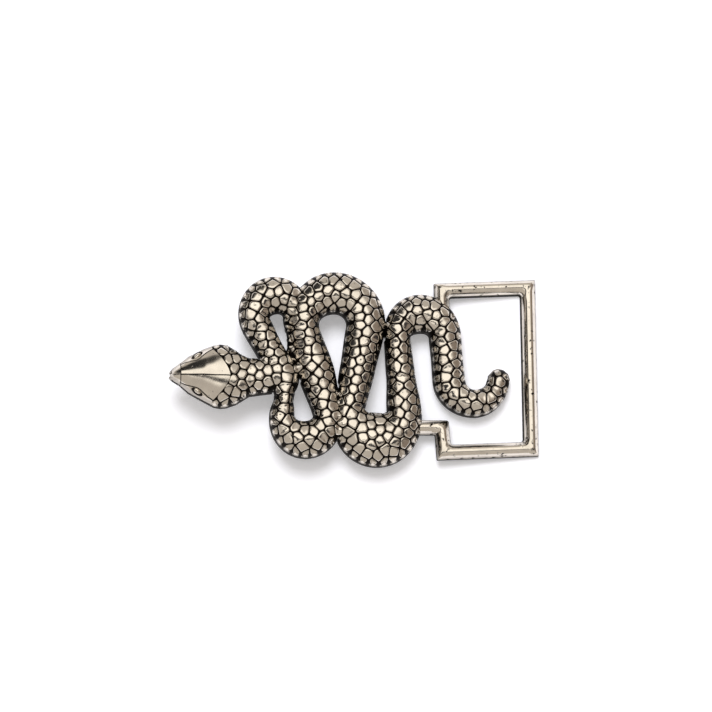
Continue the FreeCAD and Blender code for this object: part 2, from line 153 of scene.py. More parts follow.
def body_stations():
    """Stations (x, y, heading, half width, crest height) along the snake's body."""
    stops = [(BODY_START, STRAIGHT)]
    for name, x, y, radius, turn, *widths in BENDS:
        stops.append(((x, y), turn * radius))
    stops.append((BODY_END, STRAIGHT))
    headings = []
    for (start, start_radius), (end, end_radius) in zip(stops, stops[1:]):
        headings.append(tangent_heading(start, start_radius, end, end_radius))

    route = [(BODY_START[0], BODY_START[1], headings[0])]
    half_widths = [(0.0, START_SECTION[0])]
    crests = [(0.0, START_SECTION[1])]
    length = 0.0
    width_run = START_SECTION[0]
    for index, bend in enumerate(BENDS):
        name, x, y, radius, turn, width_in, width_mid, width_out, width_after, crest = bend
        first = headings[index]
        sweep = (turn * (headings[index + 1] - first)) % FULL_TURN
        side = left_of(first)
        entry = (x - turn * radius * side[0], y - turn * radius * side[1])
        run = add_run(route, entry, first)
        half_widths.append((length + 0.5 * run, width_run))
        width_run = width_after
        length += run
        half_widths.append((length, width_in))
        half_widths.append((length + 0.5 * radius * sweep, width_mid))
        crests.append((length + 0.5 * radius * sweep, crest))
        steps = max(FEWEST_BEND_STEPS, round(radius * sweep / STATION_STEP))
        for step in range(1, steps + 1):
            angle = first + turn * sweep * step / steps
            side = left_of(angle)
            route.append((x - turn * radius * side[0], y - turn * radius * side[1], angle))
        length += radius * sweep
        half_widths.append((length, width_out))
    length += add_run(route, BODY_END, headings[-1])
    half_widths.append((length, END_SECTION[0]))
    crests.append((length, END_SECTION[1]))

    stations = []
    travelled = 0.0
    for index, (x, y, angle) in enumerate(route):
        if index:
            travelled += math.dist(route[index - 1][:2], (x, y))
        stations.append((x, y, angle, blend(half_widths, travelled), blend(crests, travelled)))
    return stations


def add_run(route, end, angle):
    """Add the straight run from the route's last point to end; return its length."""
    start = route[-1]
    length = math.dist(start[:2], end)
    steps = max(1, round(length / STATION_STEP))
    for step in range(1, steps + 1):
        share = step / steps
        x = start[0] + (end[0] - start[0]) * share
        y = start[1] + (end[1] - start[1]) * share
        route.append((x, y, angle))
    return length


BODY = body_stations()


def head_section(x):
    """Middle, half width, crest height, side exponent and edge slope at x."""
    for low, high in zip(HEAD_SECTIONS, HEAD_SECTIONS[1:]):
        if x <= high[0]:
            share = (x - low[0]) / (high[0] - low[0])
            values = [low[k] + (high[k] - low[k]) * share for k in range(1, 5)]
            return values + [(high[2] - low[2]) / (high[0] - low[0])]
    return None


def body_height(x, y):
    """Height of the round-backed body over a point, or None beside it."""
    best = None
    for cx, cy, angle, half, crest in BODY:
        share = ((x - cx) ** 2 + (y - cy) ** 2) / (half * half)
        if share < 1.0:
            height = WALL_HEIGHT + (crest - WALL_HEIGHT) * math.sqrt(1.0 - share)
            if best is None or height > best:
                best = height
    return best


def head_height(x, y):
    """Height of the head and neck over a point, or None beside them."""
    if not HEAD_SECTIONS[0][0] <= x <= HEAD_SECTIONS[-1][0]:
        return None
    middle, half, crest, exponent, slope = head_section(x)
    share = abs(y - middle) / half
    if share >= 1.0:
        return None
    rise = (1.0 - share ** exponent) ** (1.0 / min(exponent, 2.0))
    return WALL_HEIGHT + (crest - WALL_HEIGHT) * rise


def surface(x, y):
    heights = [h for h in (body_height(x, y), head_height(x, y)) if h is not None]
    return max(heights) if heights else WALL_HEIGHT


def clearance(x, y):
    """Distance from a point to the outline, positive inside the metal."""
    best = max(half - math.dist((x, y), (cx, cy)) for cx, cy, angle, half, crest in BODY)
    first = HEAD_SECTIONS[0][0]
    last = HEAD_SECTIONS[-1][0]
    middle, half, crest, exponent, slope = head_section(min(max(x, first), last))
    side = (half - abs(y - middle)) / math.hypot(1.0, slope)
    return max(best, min(side, x - first, last - x))


def plate_rear(offset):
    """Where the smooth plates end, at a distance from the head's middle line."""
    return PLATE_REAR_X - PLATE_SWEEP * (offset / PLATE_HALF_SPAN) ** PLATE_CURVE


def on_plates(x, y):
    """True on the two smooth plates that cover the top of the head."""
    if x > PLATE_REAR_X:
        return False
    offset = abs(y - head_section(max(x, HEAD_SECTIONS[0][0]))[0])
    return x < plate_rear(offset)


def edge_starts():
    """Points on the middle lines, each with a direction that leads to the outline."""
    starts = []
    for before, station in zip(BODY, BODY[1:]):
        for share in (0.0, 0.5):
            x, y, angle, half, crest = [a + (b - a) * share for a, b in zip(before, station)]
            across = left_of(angle)
            starts.append((x, y, across[0], across[1], half))
            starts.append((x, y, -across[0], -across[1], half))
    x, y, angle, half, crest = BODY[-1]
    for step in range(1, CAP_STEPS):
        turned = angle - 0.5 * math.pi + math.pi * step / CAP_STEPS
        starts.append((x, y, math.cos(turned), math.sin(turned), half))
    x = HEAD_SECTIONS[0][0] + NOSE_START
    while x < HEAD_SECTIONS[-1][0]:
        middle, half, crest, exponent, slope = head_section(x)
        starts.append((x, middle, 0.0, 1.0, half))
        starts.append((x, middle, 0.0, -1.0, half))
        x += STATION_STEP
    starts.append((HEAD_SECTIONS[1][0], HEAD_SECTIONS[1][1], -1.0, 0.0, HEAD_SECTIONS[1][2]))
    return starts


def edge_point(x, y, dx, dy, half):
    """Where a line from a middle line leaves the metal, or None if it stays in it."""
    reach = 0.5 * half
    for attempt in range(TRACE_STEPS):
        reach += clearance(x + dx * reach, y + dy * reach)
    point = (x + dx * reach, y + dy * reach)
    if abs(clearance(*point)) > ON_EDGE or reach > half + 2.0 * RIM:
        return None
    return point


def edge_seeds():
    """Seeds of the narrow rim cells, and of the empty cells outside them."""
    rim = []
    empty = []
    edge = []
    for start in edge_starts():
        point = edge_point(*start)
        if point is None or any(math.dist(point, known) < RIM_SPACING for known in edge):
            continue
        edge.append(point)
        x, y = point
        dx = clearance(x - RIM, y) - clearance(x + RIM, y)
        dy = clearance(x, y - RIM) - clearance(x, y + RIM)
        length = math.hypot(dx, dy)
        outer = (x + RIM * dx / length, y + RIM * dy / length)
        if length > RIM and clearance(*outer) < -WELL_OUTSIDE:
            rim.append((x - RIM * dx / length, y - RIM * dy / length))
            empty.append(outer)
    columns = round(2.0 * OUTER_SPAN[0] / EMPTY_SPACING)
    lines = round(2.0 * OUTER_SPAN[1] / EMPTY_SPACING)
    for i in range(columns + 1):
        for j in range(lines + 1):
            x = -OUTER_SPAN[0] + i * EMPTY_SPACING
            y = -OUTER_SPAN[1] + j * EMPTY_SPACING
            if -EMPTY_BAND < clearance(x, y) < -EMPTY_SPACING:
                empty.append((x, y))
    return rim, empty


def plate_seeds():
    """Seeds of the smooth facets, in mirrored pairs beside the head's middle line."""
    seeds = []
    x = HEAD_SECTIONS[0][0] + 2.0 * RIM + PLATE_FACET
    while x < PLATE_REAR_X:
        middle = head_section(x)[0]
        offset = PLATE_FACET
        while clearance(x, middle + offset) > 2.0 * RIM + FACET_EDGE_ROOM:
            if on_plates(x + FACET_REAR_ROOM, middle + offset):
                seeds += [(x, middle + offset), (x, middle - offset)]
            offset += 2.0 * PLATE_FACET
        x += 2.0 * PLATE_FACET
    return seeds


def scale_seeds(chance, rim):
    """Seeds of the scales, packed closely along the outline and then from end to end:
    place, height, cosine of the surface's slope, and radius."""
    seeds = []

    def try_seed(x, y, height, cosine, radius):
        if surface(x, y) > height + COVERED:
            return
        if clearance(x, y) < RIM + SEED_EDGE_SHARE * radius * cosine:
            return
        if on_plates(x - radius, y):
            return
        for other in seeds:
            if math.dist((x, y, height), other[:3]) < radius + other[4]:
                return
        seeds.append((x, y, height, cosine, radius))

    def row(x, y, angle, half, crest, height_at):
        across = left_of(angle)
        count = int(half / FINE_STEP)
        offsets = sorted(range(-count, count + 1), key=lambda k: chance.random())
        radius = SCALE_RADIUS * (1.0 + SCALE_SPREAD * chance.uniform(-1.0, 1.0))
        for k in offsets:
            offset = k * FINE_STEP
            px = x + across[0] * offset
            py = y + across[1] * offset
            height = height_at(px, py)
            if height is None:
                continue
            share = min(STEEPEST_SHARE, abs(offset) / half)
            run = math.sqrt(1.0 - share * share)
            rise = (crest - WALL_HEIGHT) / half * share
            try_seed(px, py, height, run / math.hypot(run, rise), radius)

    for edge_x, edge_y in rim:
        inward = Vector((clearance(edge_x + RIM, edge_y) - clearance(edge_x - RIM, edge_y),
                         clearance(edge_x, edge_y + RIM) - clearance(edge_x, edge_y - RIM)))
        inward = inward.normalized() * OUTER_ROW_INSET
        x = edge_x + inward.x
        y = edge_y + inward.y
        if not on_plates(x - OUTER_ROW_PLATE_ROOM, y):
            rise = surface(x + inward.x, y + inward.y) - surface(edge_x, edge_y)
            run = 2.0 * OUTER_ROW_INSET
            try_seed(x, y, surface(x, y), run / math.hypot(run, rise), SCALE_RADIUS)

    x = HEAD_SECTIONS[0][0]
    while x < HEAD_SECTIONS[-1][0]:
        middle, half, crest, exponent, slope = head_section(x)
        if x > PLATE_REAR_X - PLATE_SWEEP - SCALE_RADIUS:
            row(x, middle, 0.0, half, crest, head_height)
        x += 0.5 * STATION_STEP
    for before, station in zip(BODY, BODY[1:]):
        for share in (0.0, 0.5):
            mixed = [a + (b - a) * share for a, b in zip(before, station)]
            row(*mixed, body_height)
    x, y, angle, half, crest = BODY[-1]
    beyond = 0.5 * STATION_STEP
    while beyond < half - RIM:
        width = math.sqrt(half * half - beyond * beyond)
        beyond_x = x + beyond * math.cos(angle)
        beyond_y = y + beyond * math.sin(angle)
        row(beyond_x, beyond_y, angle, width, crest, body_height)
        beyond += 0.5 * STATION_STEP
    return seeds


def clip(polygon, dx, dy, limit):
    """The part of a polygon where dx * x + dy * y is at most limit."""
    kept = []
    for start, end in zip(polygon, polygon[1:] + polygon[:1]):
        before = dx * start[0] + dy * start[1] - limit
        after = dx * end[0] + dy * end[1] - limit
        if before <= 0.0:
            kept.append(start)
        if (before < 0.0 < after) or (after < 0.0 < before):
            share = before / (before - after)
            x = start[0] + (end[0] - start[0]) * share
            y = start[1] + (end[1] - start[1]) * share
            kept.append((x, y))
    return kept


def cells(seeds, count):
    """Outline of the cell round each of the first count seeds (x, y, radius)."""
    outlines = []
    for x, y, radius in seeds[:count]:
        near = []
        for other in seeds:
            gap = math.dist((x, y), other[:2])
            if 0.0 < gap < 2.0 * CELL_SPAN:
                near.append((gap, other))
        near.sort()
        outline = []
        for i, j in ((-1, -1), (1, -1), (1, 1), (-1, 1)):
            outline.append((x + i * CELL_SPAN, y + j * CELL_SPAN))
        for gap, (ox, oy, other_radius) in near:
            dx = ox - x
            dy = oy - y
            limit = 0.5 * (gap * gap + radius * radius - other_radius * other_radius)
            outline = clip(outline, dx, dy, limit + dx * x + dy * y)
            if len(outline) < 3:
                break
        outlines.append(outline)
    return outlines


def number_corners(outlines):
    """The corners that cells share, and each cell as a loop of corner numbers."""
    points = []
    known = {}
    loops = []
    for outline in outlines:
        loop = []
        for x, y in outline:
            key = (round(x / SAME_POINT), round(y / SAME_POINT))
            around = [(key[0] + i, key[1] + j) for i in (-1, 0, 1) for j in (-1, 0, 1)]
            found = next((known[k] for k in around if k in known), None)
            if found is None:
                found = len(points)
                known[key] = found
                points.append((x, y))
            loop.append(found)
        loops.append(tidy_loop(loop))
    return points, loops


def tidy_loop(loop):
    """A loop of corner numbers without repeats next to each other."""
    kept = []
    for number in loop:
        if not kept or kept[-1] != number:
            kept.append(number)
    while len(kept) > 1 and kept[0] == kept[-1]:
        kept.pop()
    return kept


def loop_edges(loop):
    return list(zip(loop, loop[1:] + loop[:1]))


def border_edges(loops):
    """Directed edges that only one cell has: those on the outline."""
    edges = {edge for loop in loops for edge in loop_edges(loop)}
    return [(start, end) for start, end in sorted(edges) if (end, start) not in edges]


def join_short_edges(points, loops):
    """Draw the two ends of each short edge inside the metal together."""
    taken = {number for edge in border_edges(loops) for number in edge}
    joined = {}
    for loop in loops:
        for start, end in loop_edges(loop):
            long_side = math.dist(points[start], points[end]) > SHORTEST_EDGE
            if long_side or start in taken or end in taken:
                continue
            taken.update((start, end))
            joined[end] = start
            points[start] = tuple(0.5 * (a + b) for a, b in zip(points[start], points[end]))
    return [tidy_loop([joined.get(number, number) for number in loop]) for loop in loops]


HOOK_X = -21.5
HOOK_Y = -3.1
HOOK_GAP = 4.8
HOOK_REACH = 10.0
HOOK_BEND = 2.2
ROD_RADIUS = 1.5
FRAME_OUTER_X = 47.55 + 2.1

# The buckle lies on the outside of its hook's bend and on the frame's outer bar.
run = FRAME_OUTER_X - (HOOK_X - HOOK_BEND)
drop = HOOK_GAP + ROD_RADIUS - HOOK_BEND
LEAN = math.atan2(drop, run) + math.asin((HOOK_BEND + ROD_RADIUS) / math.hypot(run, drop))
pivot = Vector((FRAME_OUTER_X, 0.0, 0.0))
lean = Matrix.Translation(pivot) @ Matrix.Rotation(LEAN, 4, "Y") @ Matrix.Translation(-pivot)
tip_middle = lean @ Vector((HOOK_X - HOOK_REACH + ROD_RADIUS, HOOK_Y, -(HOOK_GAP + ROD_RADIUS)))
hook_low, hook_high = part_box("belt_hook")
shift_x = hook_low.x / MM + ROD_RADIUS - tip_middle.x
shift_y = 0.5 * (hook_low.y + hook_high.y) / MM - HOOK_Y
PLACE = Matrix.Scale(MM, 4) @ Matrix.Translation(Vector((shift_x, shift_y, 0.0))) @ lean


def deselect_all():
    for thing in bpy.context.selected_objects:
        thing.select_set(False)


def new_piece(name, points, faces):
    """An object from plan points and faces, selected and active."""
    mesh = bpy.data.meshes.new(name)
    mesh.from_pydata(points, [], faces)
    mesh.update()
    piece = bpy.data.objects.new(name, mesh)
    bpy.context.scene.collection.objects.link(piece)
    deselect_all()
    piece.select_set(True)
    bpy.context.view_layer.objects.active = piece
    return piece


def edit_open_rim():
    """Enter edit mode on the active piece, with only its open rim selected."""
    bpy.ops.object.mode_set(mode="EDIT")
    bpy.ops.mesh.select_mode(type="EDGE")
    bpy.ops.mesh.select_all(action="DESELECT")
    bpy.ops.mesh.select_non_manifold()


def turn_outward():
    """Turn all faces of the piece in edit mode outward, and leave edit mode."""
    bpy.ops.mesh.select_all(action="SELECT")
    bpy.ops.mesh.normals_make_consistent(inside=False)
    bpy.ops.object.mode_set(mode="OBJECT")


def put_in_place(piece):
    """Lean the finished plan mesh into the buckle's resting place, in metres."""
    piece.data.transform(PLACE)
    piece.data.update()


PAD_RINGS = [
    # distance in from the middle of the groove, rise above the groove's floor, polish
    (0.12, 0.12, 0.0),
    (0.26, 0.33, 0.9),
    (0.60, 0.40, 1.0),
]
FLANK_RISE = 0.35
LEAST_PAD_SHARE = 0.45
PAD_TILT = 0.08
EDGE_BAND = 0.55
EDGE_GROOVE = 0.14
EDGE_RISE = 0.1
EDGE_POLISH = 0.42
OUTER_PAD_POLISH = 0.54
WALL_FOOT_PAINTED_SHADE = 0.34
EDGE_ROOM = 0.1
EDGE_TRIES = 8
EDGE_PULL = 0.2
EDGE_INSET_SHARE = 0.2
VALLEY_RING = 1.7
VALLEY_SPOTS = 8
VALLEY_SHADE = 0.3
SUNK_PLATE = 0.7
OPEN_REACH = 9.0
OPEN_RAYS = 32
LOWEST_RAY = 0.15
RAY_SPAN = 0.8
GOLDEN_ANGLE = 2.399963
RAY_OUT = 0.4
RAY_UP = 0.2
CLOSED = 0.22
FEWEST_POINTS = 5
ON_BACK = 0.01
SNAKE_SMOOTH_ANGLE = math.radians(50.0)

chance = random.Random(SEED)
rim, empty = edge_seeds()
plates = plate_seeds()
scales = scale_seeds(chance, rim)
seeds = [(x, y, radius * cosine) for x, y, height, cosine, radius in scales]
seeds += [(x, y, PLATE_FACET) for x, y in plates]
offset = PLATE_REAR_FIRST
while offset < PLATE_HALF_SPAN:
    for side in (-1, 1):
        x = plate_rear(offset) - RIM
        seeds.append((x, head_section(x)[0] + side * offset, RIM))
        plates.append(seeds[-1][:2])
    offset += PLATE_REAR_STEP
seeds += [(x, y, RIM) for x, y in rim]
inside = len(seeds)
seeds += [(x, y, RIM) for x, y in empty]
points, loops = number_corners(cells(seeds, inside))
loops = join_short_edges(points, loops)

# Each side of a cell gets a point in its middle, so that the scales keep their corners.
middles = {}
for order, loop in enumerate(loops):
    fuller = []
    for start, end in loop_edges(loop):
        pair = (min(start, end), max(start, end))
        if pair not in middles:
            middles[pair] = len(points)
            points.append(tuple(0.5 * (a + b) for a, b in zip(points[start], points[end])))
        fuller += [start, middles[pair]]
    loops[order] = fuller
grooved = set()
for loop in loops[:len(scales)]:
    grooved.update(loop)
on_plate = set()
for loop in loops[len(scales):len(scales) + len(plates)]:
    on_plate.update(loop)


def groove_distance(x, y):
    """Distance in plan from a point to the nearest border between two scales."""
    nearest = []
    for seed in seeds[:len(scales)]:
        nearest.append((math.dist((x, y), seed[:2]) ** 2 - seed[2] ** 2, seed))
    (first, near), (second, other) = heapq.nsmallest(2, nearest)
    return 0.5 * (second - first) / math.dist(near[:2], other[:2])


# The outermost scales run out to the edge, so their part of the rim isn't sunk.
on_edge = set()
for number, (x, y) in enumerate(points):
    if number not in on_plate and clearance(x, y) < EDGE_BAND and groove_distance(x, y) > EDGE_GROOVE:
        on_edge.add(number)
net = []
for number, (x, y) in enumerate(points):
    height = surface(x, y)
    if number in on_edge:
        height += EDGE_RISE
    elif number in grooved:
        height -= GROOVE_DEPTH
    elif number in on_plate:
        height -= SUNK_PLATE
    net.append((x, y, max(height, LOWEST_GROOVE)))
kept = [order for order, loop in enumerate(loops) if len(loop) >= FEWEST_POINTS]
snake = new_piece("snake", net, [loops[order] for order in kept])

# How far each point of the net is open to a polishing wheel from above
net_corners = [vertex.co for vertex in snake.data.vertices]
net_cells = [polygon.vertices for polygon in snake.data.polygons]
net_tree = BVHTree.FromPolygons(net_corners, net_cells)
directions = []
for k in range(OPEN_RAYS):
    height = LOWEST_RAY + RAY_SPAN * (k + 0.5) / OPEN_RAYS
    turn = k * GOLDEN_ANGLE
    flat = math.sqrt(1.0 - height * height)
    directions.append(Vector((flat * math.cos(turn), flat * math.sin(turn), height)))


def open_share(point):
    """Share of the directions that leave a point without meeting the net."""
    clear = sum(1 for d in directions if net_tree.ray_cast(point, d, OPEN_REACH)[0] is None)
    return clear / OPEN_RAYS


shape = bmesh.new()
shape.from_mesh(snake.data)
lift = shape.verts.layers.float.new("lift")
opened = shape.verts.layers.float.new("open")
for corner in shape.verts:
    share = open_share(corner.co + corner.normal * RAY_OUT + Vector((0.0, 0.0, RAY_UP)))
    around = 0.0
    for k in range(VALLEY_SPOTS):
        turn = FULL_TURN * k / VALLEY_SPOTS
        beside_x = corner.co.x + VALLEY_RING * math.cos(turn)
        beside_y = corner.co.y + VALLEY_RING * math.sin(turn)
        around += surface(beside_x, beside_y) / VALLEY_SPOTS
    corner[lift] = EDGE_POLISH * (corner.index in on_edge)
    corner[opened] = share - VALLEY_SHADE * max(0.0, around - surface(corner.co.x, corner.co.y))
shape.faces.ensure_lookup_table()
for order, cell in zip(kept, list(shape.faces)):
    middle = cell.calc_center_median()
    normal = cell.normal.copy()
    reached = sum(corner[opened] for corner in cell.verts) / len(cell.verts)
    if order >= len(scales) or reached < CLOSED:
        continue
    flats = [(corner.co.copy(), (corner.co - middle).length, corner[lift]) for corner in cell.verts]
    tilt = Vector([chance.uniform(-PAD_TILT, PAD_TILT) for axis in range(3)])
    worn = OUTER_PAD_POLISH if any(edge for start, reach, edge in flats) else 1.0
    for inward, rise, polish in PAD_RINGS:
        bmesh.ops.inset_individual(shape, faces=[cell], thickness=0.0, depth=0.0)
        for corner, (start, reach, edge) in zip(cell.verts, flats):
            inset = min(LEAST_PAD_SHARE * inward / PAD_RINGS[-1][0], inward / reach)
            share = 1.0 - inset * (EDGE_INSET_SHARE if edge else 1.0)
            upward = rise * (normal.z + (1.0 - normal.z) * FLANK_RISE)
            if polish > 0.0:
                upward += tilt.dot(start - middle) * share
            corner.co = middle + (start - middle) * share + normal * upward
            for attempt in range(EDGE_TRIES):
                if clearance(corner.co.x, corner.co.y) > EDGE_ROOM * (1.0 + inward):
                    break
                corner.co.xy = corner.co.xy.lerp(middle.xy, EDGE_PULL)
            corner[lift] = max(polish * worn, edge)
shape.to_mesh(snake.data)
shape.free()

relief = snake.modifiers.new("relief", "SUBSURF")
relief.levels = 1
relief.render_levels = 1
bpy.ops.object.modifier_apply(modifier=relief.name)

# The walls run straight down to the flat back.
edit_open_rim()
bpy.ops.mesh.extrude_region_move()
bpy.ops.transform.resize(value=(1.0, 1.0, 0.0), center_override=(0.0, 0.0, 0.0))
bpy.ops.mesh.fill(use_beauty=False)
turn_outward()
# The foot of each wall gets a low polish value. This is painted shade: a thin dark line that stands
# in for the floor's shadow seen in the wall.
for vertex, item in zip(snake.data.vertices, snake.data.attributes["lift"].data):
    if vertex.co.z < ON_BACK:
        item.value = WALL_FOOT_PAINTED_SHADE
bpy.ops.object.shade_smooth_by_angle(angle=SNAKE_SMOOTH_ANGLE)

put_in_place(snake)
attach(snake, "root")
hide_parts("snake_casting")


def add_node(tree, kind, **settings):
    """A shader node of a kind, with its settings given by name."""
    node = tree.nodes.new(kind)
    for name, value in settings.items():
        setattr(node, name, value)
    return node


def add_attribute(tree, name):
    """Result of a node that reads an attribute of the mesh."""
    return add_node(tree, "ShaderNodeAttribute", attribute_name=name).outputs["Fac"]


def add_math(tree, operation, *terms):
    """Result of a math node on terms that are sockets or plain numbers."""
    node = add_node(tree, "ShaderNodeMath", operation=operation)
    for socket, term in zip(node.inputs, terms):
        if isinstance(term, float):
            socket.default_value = term
        else:
            tree.links.new(term, socket)
    return node.outputs["Value"]


def add_noise(tree, vector, size, detail):
    """Result of a noise node on a vector socket."""
    node = add_node(tree, "ShaderNodeTexNoise")
    node.inputs["Scale"].default_value = size
    node.inputs["Detail"].default_value = detail
    tree.links.new(vector, node.inputs["Vector"])
    return node.outputs["Fac"]


def add_ramp(tree, source, span, result=(0.0, 1.0), kind="SMOOTHSTEP"):
    """Map range node that takes a socket's values from one span to another."""
    node = add_node(tree, "ShaderNodeMapRange", interpolation_type=kind)
    for name, value in zip(("From Min", "From Max", "To Min", "To Max"), span + result):
        node.inputs[name].default_value = value
    tree.links.new(source, node.inputs["Value"])
    return node


ROUGH_PITS = 0.09
PIT_SPAN = (0.66, 0.76)
silver = bpy.data.materials.new("antique silver")
silver.use_nodes = True
tree = silver.node_tree
shader = tree.nodes["Principled BSDF"]
shader.inputs["Metallic"].default_value = 1.0
place = add_node(tree, "ShaderNodeTexCoord").outputs["Object"]

# Polished where the metal stands proud and a wheel can reach it; the lift attribute also carries
# painted shade at the foot of the walls and on the frame bar's flanks
lifted = add_ramp(tree, add_attribute(tree, "lift"), (0.2, 0.6))
opened = add_ramp(tree, add_attribute(tree, "open"), (0.46, 0.62))
polished = add_math(tree, "MULTIPLY", lifted.outputs["Result"], opened.outputs["Result"])

# Small cast pits, with more of them where the cast skin is rough
grain = add_noise(tree, place, 900.0, 3.0)
pits = add_ramp(tree, grain, PIT_SPAN)
rough = add_attribute(tree, "rough")
for name, least in zip(("From Min", "From Max"), PIT_SPAN):
    level = add_math(tree, "MULTIPLY_ADD", rough, -ROUGH_PITS, least)
    tree.links.new(level, pits.inputs[name])
unpitted = add_math(tree, "MULTIPLY_ADD", pits.outputs["Result"], -1.0, 1.0)
relief = add_node(tree, "ShaderNodeBump")
relief.inputs["Strength"].default_value = 0.35
relief.inputs["Distance"].default_value = 0.00012
tree.links.new(unpitted, relief.inputs["Height"])
tree.links.new(relief.outputs["Normal"], shader.inputs["Normal"])

# Uneven stain on the polished metal
stain = add_noise(tree, place, 220.0, 4.0)
unstained = add_ramp(tree, stain, (0.35, 0.70), (1.0, 0.84), "LINEAR")
worn = add_math(tree, "MULTIPLY", polished, unstained.outputs["Result"])
clean = add_math(tree, "MULTIPLY", worn, unpitted)

colour = add_node(tree, "ShaderNodeMix", data_type="RGBA")
colour.inputs["A"].default_value = (0.012, 0.009, 0.007, 1.0)
colour.inputs["B"].default_value = (0.78, 0.72, 0.64, 1.0)
tree.links.new(clean, colour.inputs["Factor"])
tree.links.new(colour.outputs["Result"], shader.inputs["Base Color"])
gloss = add_ramp(tree, clean, (0.0, 1.0), (0.6, 0.11), "LINEAR")
tree.links.new(gloss.outputs["Result"], shader.inputs["Roughness"])
snake.data.materials.append(silver)

# Head plates
# The top of the head is two smooth polished plates that meet in a sharp groove,
# with a nose cap in front of them and a plain cheek below each brow.
PLATE_EDGE = [
    # x and offset from the middle line of a plate's outer edge, from nose to rear
    (-46.9, 2.3),
    (-45.7, 2.9),
    (-44.4, 3.2),
    (-42.7, 3.6),
    (-41.8, 4.2),
    (-41.0, 5.0),
    (-39.8, 6.0),
    (-38.5, 6.8),
]
NOSE_SPLIT_X = -47.05
NOSE_TIP_X = -49.75
NOSE_TIP_HALF = 0.1
NOSE_BASE = 1.9
NOSE_TAPER = 1.6
NOSE_ROUNDNESS = 0.8
NOSE_DIP = 0.45
GAP = 0.22
PLATE_LIFT = 0.32
CHEEK_LIFT = 0.1
NOSE_LIFT = 0.2
SIDE_LIMIT = 0.985
TURNED_EDGE = 0.12
EDGE_DROP = 0.9
SHINE_FROM = 3.7
SHINE_SPAN = 2.4
MIDLINE_SHIFT = 0.55
MIDLINE_GAP = 0.17
PATCH_COLUMNS = 14
PATCH_ROWS = 20
CHEEK_COLUMNS = 6
NOSE_ROWS = 8
NOSE_COLUMNS = 10
EYE_X = -42.55
EYE_OFFSET = 4.55
EYE_SIZE = (1.45, 0.76, 0.95)
EYE_HEIGHT = 4.0
EYE_OUT = 0.1
EYE_TURN = math.radians(40.0)
SOCKET_GROWTH = 0.28
SOCKET_DROP = 0.06
HEAD_SMOOTH_ANGLE = math.radians(40.0)


def along(line, share):
    """Point at a share of the way along a polyline of plan points."""
    place = share * (len(line) - 1)
    index = min(int(place), len(line) - 2)
    part = place - index
    return tuple(a + (b - a) * part for a, b in zip(line[index], line[index + 1]))


def patch(name, rows, side, lift):
    """A smooth skin over rows of (x, offset) plan points on one side of the middle
    line, with its rim turned down into the groove round it."""
    count = len(rows[0])
    spots = []
    for row in rows:
        for x, offset in row:
            inner_x = max(x, HEAD_SECTIONS[0][0])
            middle, half, crest, exponent, slope = head_section(inner_x)
            offset = max(-SIDE_LIMIT * half, min(offset, SIDE_LIMIT * half))
            y = middle + side * offset - MIDLINE_SHIFT * (1.0 - abs(offset) / half)
            spots.append((x, y, head_height(inner_x, y) + lift))
    quads = []
    for i in range(len(rows) - 1):
        for j in range(count - 1):
            first = i * count + j
            quads.append((first, first + 1, first + count + 1, first + count))
    piece = new_piece(name, spots, quads)
    edit_open_rim()
    bpy.ops.mesh.extrude_region_move()
    bpy.ops.transform.translate(value=(0.0, 0.0, -TURNED_EDGE))
    bpy.ops.mesh.extrude_region_move()
    bpy.ops.transform.translate(value=(0.0, 0.0, -EDGE_DROP))
    bpy.ops.mesh.edge_face_add()
    turn_outward()
    lifts = piece.data.attributes.new("lift", "FLOAT", "POINT")
    opens = piece.data.attributes.new("open", "FLOAT", "POINT")
    first_sunk = len(spots) + (len(piece.data.vertices) - len(spots) + 1) // 2
    for vertex in piece.data.vertices:
        shine = EDGE_POLISH + (1.0 - EDGE_POLISH) * (vertex.co.z - SHINE_FROM) / SHINE_SPAN
        if vertex.index < first_sunk:
            lifts.data[vertex.index].value = min(1.0, max(EDGE_POLISH, shine))
        opens.data[vertex.index].value = 1.0
    return piece


def nose_narrowing(x):
    """How far the nose has narrowed at x: 0 where it meets the plates, 1 at its tip."""
    share = (NOSE_SPLIT_X - x) / (NOSE_SPLIT_X - NOSE_TIP_X)
    return max(0.0, min(1.0, share)) ** NOSE_TAPER


head_parts = []
for side, label in ((1, "upper"), (-1, "lower")):
    plate_rows = []
    cheek_rows = []
    for i in range(PATCH_ROWS + 1):
        outer_x, outer_offset = along(PLATE_EDGE, i / PATCH_ROWS)
        edge_share = (outer_x - PLATE_EDGE[0][0]) / (PLATE_EDGE[-1][0] - PLATE_EDGE[0][0])
        front = NOSE_SPLIT_X + GAP
        row = []
        for j in range(PATCH_COLUMNS + 1):
            reach = j / PATCH_COLUMNS
            offset = MIDLINE_GAP + (outer_offset - MIDLINE_GAP) * reach
            rear = plate_rear(PLATE_EDGE[-1][1] * reach)
            row.append((front + (rear - front) * edge_share, offset))
        plate_rows.append(row)
        half = head_section(outer_x)[1]
        inner = outer_offset + GAP
        row = []
        for j in range(CHEEK_COLUMNS + 1):
            reach = j / CHEEK_COLUMNS
            row.append((outer_x, inner + (half - outer_offset - GAP) * reach))
        cheek_rows.append(row)
    head_parts.append(patch("plate_" + label, plate_rows, side, PLATE_LIFT))
    head_parts.append(patch("cheek_" + label, cheek_rows, side, CHEEK_LIFT))

rows = []
for i in range(NOSE_ROWS + 1):
    x = NOSE_TIP_X + (NOSE_SPLIT_X - NOSE_TIP_X) * i / NOSE_ROWS
    half = head_section(NOSE_SPLIT_X)[1] * (1.0 - nose_narrowing(x)) ** NOSE_ROUNDNESS + NOSE_TIP_HALF
    rows.append([(x, half * (-1.0 + 2.0 * j / NOSE_COLUMNS)) for j in range(NOSE_COLUMNS + 1)])
nose = patch("nose", rows, 1, NOSE_LIFT)
for vertex in nose.data.vertices:
    kept_height = (1.0 - nose_narrowing(vertex.co.x)) ** NOSE_DIP
    vertex.co.z = NOSE_BASE + (vertex.co.z - NOSE_BASE) * kept_height
head_parts.append(nose)

